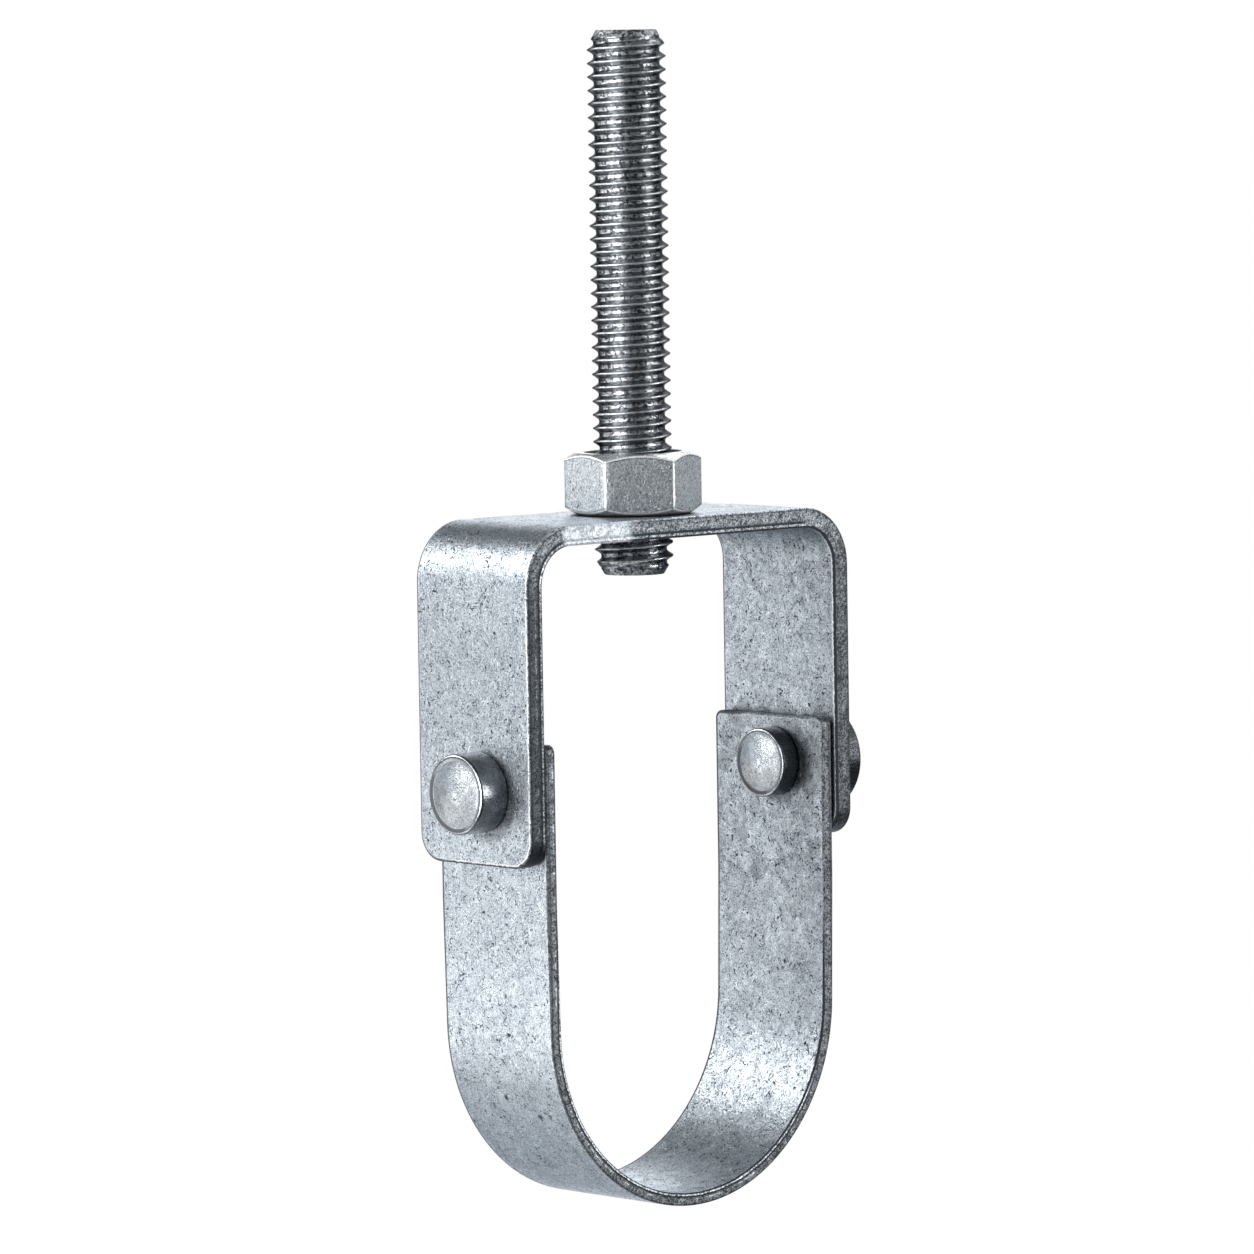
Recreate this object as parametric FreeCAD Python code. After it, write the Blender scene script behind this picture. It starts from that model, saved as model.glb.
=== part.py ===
import FreeCAD, Part
import math
import os

# Clevis hanger for one horizontal pipe, hung from a threaded rod.
# The origin is the centre of the pipe seat, on the axis of the rod.
# +Z is up along the rod, X runs across the span, Y runs along the pipe.
# All sizes are in millimetres.

# Threaded rod, three eighths of an inch with sixteen threads to the inch
rod_diameter = 9.525
rod_length = 64.0
rod_end_chamfer = 1.0
rod_projection = 4.7
mean_thread_diameter = 8.494
neck_margin = 0.3

# Hexagon lock nut of the same thread
nut_across_flats = 14.29
nut_height = 7.3
nut_chamfer_angle = 30.0
nut_flat_ring_share = 0.94
nut_corner_angle = 23.5
nut_countersink = 0.9

# Where the rod is screwed in, both threads are drawn at their mean diameter,
# with this running clearance on the radius
thread_clearance = 0.05
nut_seat_gap = 0.05

# Pipe of one and a quarter inch nominal size, and how loosely it lies in the strap
pipe_diameter = 42.16
seat_clearance = 0.07

# Lower strap, bent from a thin flat bar
strap_thickness = 1.5
strap_width = 18.5
strap_lean_angle = 1.2
strap_lean_length = 14.3
strap_blend_radius = 40.0
strap_corner_radius = 1.0
strap_edge_radius = 0.18

# Upper yoke, bent from a thicker flat bar
yoke_thickness = 2.4
yoke_width = 19.4
yoke_bend_radius = 4.6
yoke_corner_radius = 3.3
yoke_edge_radius = 0.28
yoke_side_gap = 0.4

# Rivet axis, and the heights measured from it
rivet_height = 27.8
rivet_forward = 1.2
strap_above_rivet = 5.6
yoke_below_rivet = 8.6
yoke_above_rivet = 30.9

# Rivets, each with a head outside the yoke and an upset tail inside the strap
shank_diameter = 6.35
shank_clearance = 0.09
tail_play = 0.2
left_head_diameter = 9.4
left_head_height = 4.1
right_head_diameter = 12.4
right_head_height = 4.1
tail_diameter = 8.3
tail_height = 2.5
rim_radius = 0.34
rim_groove_width = 0.42
rim_groove_depth = 0.14
face_crown = 0.3
head_foot_break = 0.12

# Sizes that follow from the values above
seat_radius = pipe_diameter / 2 + seat_clearance
lean = math.radians(strap_lean_angle)
blend_tangent = strap_blend_radius * math.tan(lean / 2)
strap_inner_half = (seat_radius * math.cos(lean)
                    + strap_lean_length * math.sin(lean)
                    + blend_tangent * math.sin(lean))
strap_outer_half = strap_inner_half + strap_thickness
strap_top = rivet_height + strap_above_rivet
yoke_inner_half = strap_outer_half + yoke_side_gap
yoke_outer_half = yoke_inner_half + yoke_thickness
yoke_top = rivet_height + yoke_above_rivet
yoke_bottom = rivet_height - yoke_below_rivet
plate_underside = yoke_top - yoke_thickness
rod_bottom = plate_underside - rod_projection
nut_bottom = yoke_top + nut_seat_gap
nut_top = nut_bottom + nut_height
tapped_radius = mean_thread_diameter / 2 + thread_clearance


def vec(x, y, z):
    return FreeCAD.Vector(x, y, z)


def polar(radius, angle):
    return vec(radius * math.cos(angle), 0, radius * math.sin(angle))


def arc_between(centre, start, end, bulge):
    """Arc from start to end about centre, through the side that bulge points to."""
    radius = (start - centre).Length
    middle = centre + bulge.normalize() * radius
    return Part.Arc(start, middle, end).toShape()


def line(start, end):
    return Part.makeLine(start, end)


def mirrored_x(point):
    return vec(-point.x, point.y, point.z)


def extrude_width(edges, width):
    """Closed section in the XZ plane, made into a bar of this width centred on Y."""
    face = Part.Face(Part.Wire(Part.__sortEdges__(edges)))
    face.translate(vec(0, -width / 2, 0))
    return face.extrude(vec(0, width, 0))


def cylinder_x(radius, x_from, x_to, y, z):
    return Part.makeCylinder(radius, x_to - x_from, vec(x_from, y, z), vec(1, 0, 0))


def leg_end_edges(solid, height, width):
    """Edges across the thickness at the four corners of the two leg ends."""
    found = []
    for edge in solid.Edges:
        points = [vertex.Point for vertex in edge.Vertexes]
        if len(points) != 2:
            continue
        at_end = all(abs(p.z - height) < 1e-6 for p in points)
        at_side = all(abs(abs(p.y) - width / 2) < 1e-6 for p in points)
        along_x = abs(points[0].y - points[1].y) < 1e-6
        if at_end and at_side and along_x:
            found.append(edge)
    return found


def face_normal_at(face, point):
    u, v = face.Surface.parameter(point)
    return face.normalAt(u, v)


def sharp_edges(solid):
    """Edges where two faces meet at a corner, so not the seams of smooth bends."""
    found = []
    for edge in solid.Edges:
        faces = solid.ancestorsOfType(edge, Part.Face)
        if len(faces) != 2:
            continue
        first, last = edge.ParameterRange
        middle = edge.valueAt((first + last) / 2)
        turn = face_normal_at(faces[0], middle).getAngle(face_normal_at(faces[1], middle))
        if turn > math.radians(20):
            found.append(edge)
    return found


# Upper yoke

def yoke_section():
    """U section of the yoke: two upright legs and a plate, with round bends."""
    outer = yoke_outer_half
    inner = yoke_inner_half
    bend_x = inner - yoke_bend_radius
    bend_z = plate_underside - yoke_bend_radius
    centre = vec(bend_x, 0, bend_z)
    towards_corner = vec(1, 0, 1)
    outer_foot = vec(outer, 0, yoke_bottom)
    outer_low = vec(outer, 0, bend_z)
    outer_high = vec(bend_x, 0, yoke_top)
    inner_foot = vec(inner, 0, yoke_bottom)
    inner_low = vec(inner, 0, bend_z)
    inner_high = vec(bend_x, 0, plate_underside)
    right = [
        line(outer_foot, outer_low),
        arc_between(centre, outer_low, outer_high, towards_corner),
        arc_between(centre, inner_low, inner_high, towards_corner),
        line(inner_foot, inner_low),
        line(inner_foot, outer_foot),
    ]
    left = [edge.mirror(vec(0, 0, 0), vec(1, 0, 0)) for edge in right]
    plate = [
        line(outer_high, mirrored_x(outer_high)),
        line(inner_high, mirrored_x(inner_high)),
    ]
    return right + left + plate


def make_yoke():
    """Bent bar with rounded leg ends, a tapped hole in the plate and rivet holes."""
    body = extrude_width(yoke_section(), yoke_width)
    corners = leg_end_edges(body, yoke_bottom, yoke_width)
    body = body.makeFillet(yoke_corner_radius, corners)
    body = body.makeFillet(yoke_edge_radius, sharp_edges(body))
    rod_hole = Part.makeCylinder(
        tapped_radius,
        3 * yoke_thickness,
        vec(0, 0, plate_underside - yoke_thickness),
    )
    body = body.cut(rod_hole)
    rivet_holes = cylinder_x(
        shank_diameter / 2,
        -2 * yoke_outer_half,
        2 * yoke_outer_half,
        -rivet_forward,
        rivet_height,
    )
    return body.cut(rivet_holes)


# Lower strap

def strap_side(offset):
    """Points of one side of the strap, a given distance outside the inner face."""
    seat = seat_radius + offset
    blend = strap_blend_radius + offset
    along = vec(math.sin(lean), 0, math.cos(lean))
    seat_end = polar(seat, -lean)
    lean_end = seat_end + along * strap_lean_length
    blend_centre = lean_end - vec(math.cos(lean), 0, -math.sin(lean)) * blend
    blend_end = blend_centre + vec(blend, 0, 0)
    ear_end = vec(blend_end.x, 0, strap_top)
    return seat_end, lean_end, blend_centre, blend_end, ear_end


def strap_flank(offset):
    """Edges of one side above the seat: leaning leg, gentle blend, upright ear."""
    seat_end, lean_end, blend_centre, blend_end, ear_end = strap_side(offset)
    half_way = vec(math.cos(lean / 2), 0, -math.sin(lean / 2))
    return [
        line(seat_end, lean_end),
        arc_between(blend_centre, lean_end, blend_end, half_way),
        line(blend_end, ear_end),
    ]


def strap_section():
    """Cradle section: a half-round seat with tangent legs that end in ears."""
    right = strap_flank(0) + strap_flank(strap_thickness)
    inner_top = strap_side(0)[4]
    outer_top = strap_side(strap_thickness)[4]
    right.append(line(inner_top, outer_top))
    left = [edge.mirror(vec(0, 0, 0), vec(1, 0, 0)) for edge in right]
    seats = []
    for offset in (0, strap_thickness):
        end = strap_side(offset)[0]
        seats.append(arc_between(vec(0, 0, 0), end, mirrored_x(end), vec(0, 0, -1)))
    return right + left + seats


def make_strap():
    """Bent bar with slightly rounded ears and a free hole for each rivet."""
    body = extrude_width(strap_section(), strap_width)
    corners = leg_end_edges(body, strap_top, strap_width)
    body = body.makeFillet(strap_corner_radius, corners)
    body = body.makeFillet(strap_edge_radius, sharp_edges(body))
    rivet_holes = cylinder_x(
        shank_diameter / 2 + shank_clearance,
        -2 * strap_outer_half,
        2 * strap_outer_half,
        -rivet_forward,
        rivet_height,
    )
    return body.cut(rivet_holes)


# Rivets

def button_edges(foot, shank_radius, radius, height, direction):
    """Half outline of a button, from the shank round its rolled rim to its crown."""
    def at(distance, r):
        return vec(foot + direction * distance, 0, r)

    rim_top = radius - rim_radius
    groove = rim_top - rim_groove_width
    half_rim = rim_radius * (1 - math.sqrt(0.5))
    crown = face_crown + rim_groove_depth
    crown_radius = (groove ** 2 + crown ** 2) / (2 * crown)
    half_turn = math.asin(groove / crown_radius) / 2
    crown_half = crown_radius * math.sin(half_turn)
    crown_drop = crown_radius * (1 - math.cos(half_turn))
    return [
        line(at(0, shank_radius), at(0, radius - head_foot_break)),
        line(at(0, radius - head_foot_break), at(head_foot_break, radius)),
        line(at(head_foot_break, radius), at(height - rim_radius, radius)),
        Part.Arc(
            at(height - rim_radius, radius),
            at(height - half_rim, radius - half_rim),
            at(height, rim_top),
        ).toShape(),
        line(at(height, rim_top), at(height - rim_groove_depth, groove)),
        Part.Arc(
            at(height - rim_groove_depth, groove),
            at(height + face_crown - crown_drop, crown_half),
            at(height + face_crown, 0),
        ).toShape(),
    ]


def make_rivet(side, head_diameter, head_height):
    """Headed shank through yoke and strap, upset inside; side is -1 left, +1 right."""
    shank = shank_diameter / 2
    head_foot = side * yoke_outer_half
    tail_foot = side * (strap_inner_half - tail_play)
    head = button_edges(head_foot, shank, head_diameter / 2, head_height, side)
    tail = button_edges(tail_foot, shank, tail_diameter / 2, tail_height, -side)
    head_tip = head_foot + side * (head_height + face_crown)
    tail_tip = tail_foot - side * (tail_height + face_crown)
    barrel = line(vec(head_foot, 0, shank), vec(tail_foot, 0, shank))
    axis = line(vec(head_tip, 0, 0), vec(tail_tip, 0, 0))
    edges = head + tail + [barrel, axis]
    face = Part.Face(Part.Wire(Part.__sortEdges__(edges)))
    solid = face.revolve(vec(0, 0, 0), vec(1, 0, 0), 360)
    solid.translate(vec(0, -rivet_forward, rivet_height))
    return solid


# Threaded rod

def make_rod():
    """Rod at its crest size with bevelled ends, and a neck through plate and nut."""
    radius = rod_diameter / 2
    neck = mean_thread_diameter / 2
    step = radius - neck
    top = rod_bottom + rod_length
    neck_from = plate_underside - neck_margin
    neck_to = nut_top + neck_margin
    outline = [
        vec(0, 0, rod_bottom),
        vec(radius - rod_end_chamfer, 0, rod_bottom),
        vec(radius, 0, rod_bottom + rod_end_chamfer),
        vec(radius, 0, neck_from - step),
        vec(neck, 0, neck_from),
        vec(neck, 0, neck_to),
        vec(radius, 0, neck_to + step),
        vec(radius, 0, top - rod_end_chamfer),
        vec(radius - rod_end_chamfer, 0, top),
        vec(0, 0, top),
        vec(0, 0, rod_bottom),
    ]
    face = Part.Face(Part.makePolygon(outline))
    return face.revolve(vec(0, 0, 0), vec(0, 0, 1), 360)


# Lock nut

def make_nut():
    """Hexagon with both ends turned to a cone, and a countersunk threaded hole."""
    across_corners = nut_across_flats / math.cos(math.radians(30))
    corner = across_corners / 2
    points = []
    for k in range(7):
        turned = math.radians(nut_corner_angle + 60 * k)
        points.append(vec(corner * math.cos(turned), corner * math.sin(turned), nut_bottom))
    prism = Part.Face(Part.makePolygon(points)).extrude(vec(0, 0, nut_height))
    ring = nut_flat_ring_share * nut_across_flats / 2
    outside = corner + 1
    drop = (outside - ring) * math.tan(math.radians(nut_chamfer_angle))
    barrel_outline = [
        vec(0, 0, nut_bottom),
        vec(ring, 0, nut_bottom),
        vec(outside, 0, nut_bottom + drop),
        vec(outside, 0, nut_top - drop),
        vec(ring, 0, nut_top),
        vec(0, 0, nut_top),
        vec(0, 0, nut_bottom),
    ]
    barrel = Part.Face(Part.makePolygon(barrel_outline)).revolve(vec(0, 0, 0), vec(0, 0, 1), 360)
    body = prism.common(barrel)
    bore_outline = [
        vec(0, 0, nut_bottom - 1),
        vec(tapped_radius + nut_countersink + 1, 0, nut_bottom - 1),
        vec(tapped_radius, 0, nut_bottom + nut_countersink),
        vec(tapped_radius, 0, nut_top - nut_countersink),
        vec(tapped_radius + nut_countersink + 1, 0, nut_top + 1),
        vec(0, 0, nut_top + 1),
        vec(0, 0, nut_bottom - 1),
    ]
    hole = Part.Face(Part.makePolygon(bore_outline)).revolve(vec(0, 0, 0), vec(0, 0, 1), 360)
    return body.cut(hole)


# Every piece, under the name of its file

pieces = {
    "hanger_rod": make_rod(),
    "lock_nut": make_nut(),
    "yoke": make_yoke(),
    "lower_strap": make_strap(),
    "rivet_left": make_rivet(-1, left_head_diameter, left_head_height),
    "rivet_right": make_rivet(1, right_head_diameter, right_head_height),
}

os.makedirs("parts", exist_ok=True)
for name, shape in pieces.items():
    solid = shape.Solids[0]
    solid.exportStep("parts/" + name + ".step")
    box = solid.BoundBox
    print(name, "solids", len(shape.Solids), "valid", solid.isValid(),
          "volume", round(solid.Volume, 1),
          "x", round(box.XMin, 2), round(box.XMax, 2),
          "y", round(box.YMin, 2), round(box.YMax, 2),
          "z", round(box.ZMin, 2), round(box.ZMax, 2))
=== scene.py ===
import math

import bmesh
import bpy
import numpy as np
from mathutils import Matrix, Vector


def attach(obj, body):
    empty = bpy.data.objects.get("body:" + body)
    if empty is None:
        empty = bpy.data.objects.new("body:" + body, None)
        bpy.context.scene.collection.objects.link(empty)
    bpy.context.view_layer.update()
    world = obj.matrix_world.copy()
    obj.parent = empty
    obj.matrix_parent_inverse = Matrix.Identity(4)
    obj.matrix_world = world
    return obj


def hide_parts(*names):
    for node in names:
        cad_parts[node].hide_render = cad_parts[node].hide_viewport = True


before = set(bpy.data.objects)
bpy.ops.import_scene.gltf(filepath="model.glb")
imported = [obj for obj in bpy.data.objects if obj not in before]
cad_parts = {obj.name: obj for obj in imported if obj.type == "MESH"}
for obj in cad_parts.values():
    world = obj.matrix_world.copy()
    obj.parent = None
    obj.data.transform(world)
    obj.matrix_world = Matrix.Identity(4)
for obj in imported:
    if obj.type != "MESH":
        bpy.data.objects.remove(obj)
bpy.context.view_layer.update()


# Camera. It stands to the front left of the hanger and a little above it, with
# a long lens and a slight roll, as the photograph was taken.

camera_azimuth = math.radians(42.6)
camera_elevation = math.radians(4.5)
camera_roll = math.radians(-0.92)
camera_distance = 0.900
camera_lens = 218.6
camera_aim = Vector((0.0, 0.0, 0.035))
camera_slide = (-0.00115, 0.01023)


def put_in_scene(name, data):
    """Object made from a camera's, a lamp's or a mesh's data, put into the scene."""
    made = bpy.data.objects.new(name, data)
    bpy.context.scene.collection.objects.link(made)
    return made


sight = Vector((
    math.cos(camera_elevation) * math.sin(camera_azimuth),
    math.cos(camera_elevation) * math.cos(camera_azimuth),
    -math.sin(camera_elevation),
))
level_right = Vector((math.cos(camera_azimuth), -math.sin(camera_azimuth), 0.0))
level_up = level_right.cross(sight)
camera_right = math.cos(camera_roll) * level_right + math.sin(camera_roll) * level_up
camera_up = math.cos(camera_roll) * level_up - math.sin(camera_roll) * level_right
camera_place = (
    camera_aim
    - camera_distance * sight
    + camera_slide[0] * camera_right
    + camera_slide[1] * camera_up
)

camera_data = bpy.data.cameras.new("camera")
camera_data.lens = camera_lens
camera_data.sensor_width = 36.0
camera_data.clip_start = 0.02
camera_data.clip_end = 200.0
camera = put_in_scene("camera", camera_data)
camera_turn = Matrix((camera_right, camera_up, -sight)).transposed().to_4x4()
camera.matrix_world = Matrix.Translation(camera_place) @ camera_turn
bpy.context.scene.camera = camera


# Studio. A white room with a pale floor well below the hung piece, a broad soft lamp on
# the left, smaller ones round about, and cards from nearly black to pale grey that give
# the bare metal something to reflect. The camera doesn't see the cards.

floor_height = -0.90
floor_reach = 60.0
card_columns = 13
card_rows = 9
card_tint = (1.0, 1.06, 1.12)

# Each card's angles round and angles up in degrees, distance in metres and shade
studio_cards = {
    "card_behind_camera": ((214, 288), (-28, 34), 1.18, 0.115),
    "card_seam_left": ((198, 212), (-28, 34), 1.16, 0.85),
    "card_seam_middle": ((211, 223), (-28, 34), 1.14, 0.32),
    "card_front_right": ((288, 352), (-60, -8), 1.00, 0.10),
    "card_right": ((-8, 30), (-70, 26), 1.00, 0.30),
    "card_right_middle": ((310, 352), (-8, 20), 1.04, 0.12),
    "card_above_back": ((56, 103), (20, 62), 1.30, 0.12),
    "card_above": ((96, 410), (44, 88), 1.25, 0.12),
    "card_left_high": ((150, 206), (26, 45), 1.30, 0.14),
    "card_low_back": ((52, 126), (-62, -24), 0.98, 0.36),
    "card_low_left": ((150, 190), (-72, -26), 0.95, 0.10),
    "card_low_front": ((190, 294), (-72, -29), 0.92, 0.10),
    "card_left_back": ((126, 150), (-6, 14), 1.40, 0.13),
    "card_left_far": ((104, 126), (-6, 14), 1.40, 0.62),
    "card_back_left": ((62, 104), (-14, 18), 1.34, 0.16),
}

# Each lamp's angle round and angle up in degrees, distance, width and height in metres,
# and how brightly it shines where the metal reflects it
soft_lamps = {
    "lamp_back_left": (121, 27, 1.25, 0.56, 0.42, 4.5),
    "lamp_back_right": (48, 12, 1.25, 0.40, 0.34, 0.84),
    "lamp_low_left": (133, -14, 1.25, 0.32, 0.20, 1.3),
    "lamp_left": (180, 0, 1.20, 0.90, 0.98, 5.4),
    "lamp_right": (303, 6, 1.10, 0.38, 0.44, 7.4),
    "lamp_rivet_side": (316, 21, 1.10, 0.17, 0.17, 9.0),
    "lamp_rivet_face": (143, 6, 1.25, 0.12, 0.12, 8.0),
    "lamp_high_right": (20, 48, 1.20, 0.30, 0.26, 8.0),
}


def add_node(tree, kind, feeds=None, **settings):
    """Adds a shader node, sets it up, and feeds its sockets with values or other sockets."""
    node = tree.nodes.new(kind)
    for name, value in settings.items():
        setattr(node, name, value)
    for socket, value in (feeds or {}).items():
        if isinstance(value, bpy.types.NodeSocket):
            tree.links.new(value, node.inputs[socket])
        else:
            node.inputs[socket].default_value = value
    return node


def empty_material(name):
    """Material whose tree has no nodes yet."""
    made = bpy.data.materials.new(name)
    made.use_nodes = True
    made.node_tree.nodes.clear()
    return made


def matt_paint(name, colour):
    """Plain matt paint for the floor and the cards."""
    made = empty_material(name)
    paint = add_node(made.node_tree, "ShaderNodeBsdfDiffuse", {"Color": (*colour, 1.0)})
    add_node(made.node_tree, "ShaderNodeOutputMaterial", {"Surface": paint.outputs["BSDF"]})
    return made


def grid_mesh(name, grid):
    """Mesh of four-sided faces over a grid of points."""
    rows, columns = grid.shape[:2]
    corner = (np.arange(rows - 1)[:, None] * columns + np.arange(columns - 1)[None, :]).ravel()
    quads = np.stack([corner, corner + 1, corner + columns + 1, corner + columns], axis=1)
    mesh = bpy.data.meshes.new(name)
    mesh.from_pydata(grid.reshape(-1, 3).tolist(), [], quads.tolist())
    return mesh


def studio_card(name, azimuths, elevations, distance, shade):
    """Curved card between two angles round and two angles up, seen only in reflections.

    It is a piece of a sphere about the hanger: the distance times the cosines and the
    sine of the two angles, so the angles are those at which the metal finds it.
    """
    azimuth = np.radians(np.linspace(*azimuths, card_columns))
    elevation = np.radians(np.linspace(*elevations, card_rows))
    a, e = np.meshgrid(azimuth, elevation)
    points = distance * np.stack([np.cos(e) * np.cos(a), np.cos(e) * np.sin(a), np.sin(e)], axis=2)
    mesh = grid_mesh(name, points + np.array(camera_aim))
    mesh.materials.append(matt_paint(name + "_paint", [shade * tint for tint in card_tint]))
    card = put_in_scene(name, mesh)
    card.visible_camera = False
    card.visible_diffuse = False
    card.visible_shadow = False


def soft_lamp(name, azimuth, elevation, distance, width, height, radiance):
    """Rectangular lamp that faces the hanger; its power follows from its radiance and size."""
    lamp_data = bpy.data.lights.new(name, "AREA")
    lamp_data.shape = "RECTANGLE"
    lamp_data.size = width
    lamp_data.size_y = height
    lamp_data.energy = radiance * math.pi * width * height
    a = math.radians(azimuth)
    e = math.radians(elevation)
    towards = Vector((math.cos(e) * math.cos(a), math.cos(e) * math.sin(a), math.sin(e)))
    place = camera_aim + distance * towards
    turn = (camera_aim - place).to_track_quat("-Z", "Y")
    lamp = put_in_scene(name, lamp_data)
    lamp.matrix_world = Matrix.Translation(place) @ turn.to_matrix().to_4x4()


room = bpy.data.worlds.new("white_room")
room.use_nodes = True
room.node_tree.nodes.clear()
room_light = add_node(room.node_tree, "ShaderNodeBackground",
                      {"Color": (1.0, 1.0, 1.0, 1.0), "Strength": 1.0})
add_node(room.node_tree, "ShaderNodeOutputWorld", {"Surface": room_light.outputs["Background"]})
bpy.context.scene.world = room

floor_mesh = bpy.data.meshes.new("floor")
floor_corners = [(-floor_reach, -floor_reach), (floor_reach, -floor_reach),
                 (floor_reach, floor_reach), (-floor_reach, floor_reach)]
floor_mesh.from_pydata([(x, y, floor_height) for x, y in floor_corners], [], [(0, 1, 2, 3)])
floor_mesh.materials.append(matt_paint("floor_white", (1.0, 1.0, 1.0)))
floor = put_in_scene("floor", floor_mesh)

for name, values in studio_cards.items():
    studio_card(name, *values)
for name, values in soft_lamps.items():
    soft_lamp(name, *values)

bpy.context.scene.view_settings.view_transform = "Standard"


# Threaded rod. Three-eighths inch steel rod with sixteen threads to the inch,
# thread rolled along its whole length and bright plated, screwed through the
# nut and the yoke's plate so that three turns show below.

thread_pitch = 0.0015875
thread_crest = 0.00463
thread_depth = 0.00074
thread_start = 0.47
rod_bottom = 0.0516
rod_top = 0.1156
rod_bevel = 0.00110
rod_bevel_slope = 0.6
rod_cap_rings = (0.0, 0.55, 0.9)
rod_waver = 6e-6
rod_waver_waves = 7
rod_waver_rise = 410.0
sawn_from = rod_top - 0.0009
sawn_full = rod_top - 0.0006
join_within = 1.5e-6
drop_within = 1e-7

# The thread's outline, in shares of half a pitch and of its depth
crest_flat = 0.09
flank_width = 0.66
flank_power = 1.4
flank_share = 0.93
root_start = 0.55
root_width = 0.45
root_share = 0.07

plated_steel = (0.57, 0.59, 0.61, 1.0)
rubbed_crest = (0.86, 0.87, 0.88, 1.0)
thread_grime = (0.040, 0.044, 0.050, 1.0)
# Painted shade where the thread is seen at a slant
slant_painted_shade = (0.06, 0.063, 0.07, 1.0)
oil_tint = (0.30, 0.31, 0.33, 1.0)
sawn_steel = (0.84, 0.86, 0.88, 1.0)
saw_soot = (0.05, 0.054, 0.06, 1.0)

# A distance taken over X and Y only, from metres to millimetres
rod_axis = (0.0, 0.0, 0.0)
round_rod = (1000.0, 1000.0, 0.0)


def thread_profile(points):
    """Rows across one pitch of the thread, as shares of the pitch and of its depth.

    The crest is a narrow flat. The flank falls steeply from it as one less a power of
    the way left, and runs out into a wide root that is a flat parabola.
    """
    across = np.arange(points) / points
    away = np.abs((across + 0.5) % 1.0 - 0.5) * 2
    flank = 1.0 - (1.0 - np.clip((away - crest_flat) / flank_width, 0.0, 1.0)) ** flank_power
    root = 1.0 - (1.0 - np.clip((away - root_start) / root_width, 0.0, 1.0)) ** 2
    return across, 1.0 - (flank_share * flank + root_share * root)


def rod_surface(around=96, across=20):
    """Grid of the rod: rows follow the thread's helix and are cut off at the two ends.

    A row's height is its share of the pitch plus a share of the turn, held between the
    ends. Its radius is the crest less the profile's depth, plus a slight waver of sines
    round and up, and never more than a bevel that widens evenly from each end. The first
    and last rows close the flat ends.
    """
    share, height = thread_profile(across)
    turns = int(math.ceil((rod_top - rod_bottom) / thread_pitch)) + 3
    phase = (np.arange(-2, turns)[:, None] + share[None, :]).ravel()
    lift = np.tile(height, turns + 2)
    angle = np.linspace(0.0, 2 * np.pi, around + 1)
    z = rod_bottom + thread_pitch * (phase[:, None] + thread_start + angle[None, :] / (2 * np.pi))
    z = np.clip(z, rod_bottom, rod_top)
    radius = thread_crest - thread_depth * (1 - lift[:, None])
    round_waver = rod_waver * np.sin(rod_waver_waves * angle)[None, :]
    radius = radius + round_waver * np.sin(z * rod_waver_rise)
    end_radius = thread_crest - rod_bevel
    bevel = end_radius + rod_bevel_slope * np.minimum(z - rod_bottom, rod_top - z)
    radius = np.minimum(radius, np.minimum(bevel, thread_crest))
    caps = np.array(rod_cap_rings) * end_radius
    radius = np.vstack([np.repeat(caps[:, None], around + 1, 1), radius,
                        np.repeat(caps[::-1, None], around + 1, 1)])
    cap_shape = (len(caps), around + 1)
    z = np.vstack([np.full(cap_shape, rod_bottom), z, np.full(cap_shape, rod_top)])
    angle = np.broadcast_to(angle, z.shape)
    return np.stack([radius * np.cos(angle), radius * np.sin(angle), z], axis=2)


def merged_piece(name, grid, material, sharp_angle):
    """Piece over a grid of points, with points in one place joined and faces turned outwards.

    Edges bent by more than the sharp angle, in degrees, stay sharp.
    """
    mesh = grid_mesh(name, grid)
    shell = bmesh.new()
    shell.from_mesh(mesh)
    bmesh.ops.remove_doubles(shell, verts=shell.verts, dist=join_within)
    bmesh.ops.dissolve_degenerate(shell, edges=shell.edges, dist=drop_within)
    bmesh.ops.recalc_face_normals(shell, faces=shell.faces)
    shell.to_mesh(mesh)
    shell.free()
    mesh.shade_smooth()
    mesh.set_sharp_from_angle(angle=math.radians(sharp_angle))
    mesh.materials.append(material)
    return put_in_scene(name, mesh)


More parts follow.
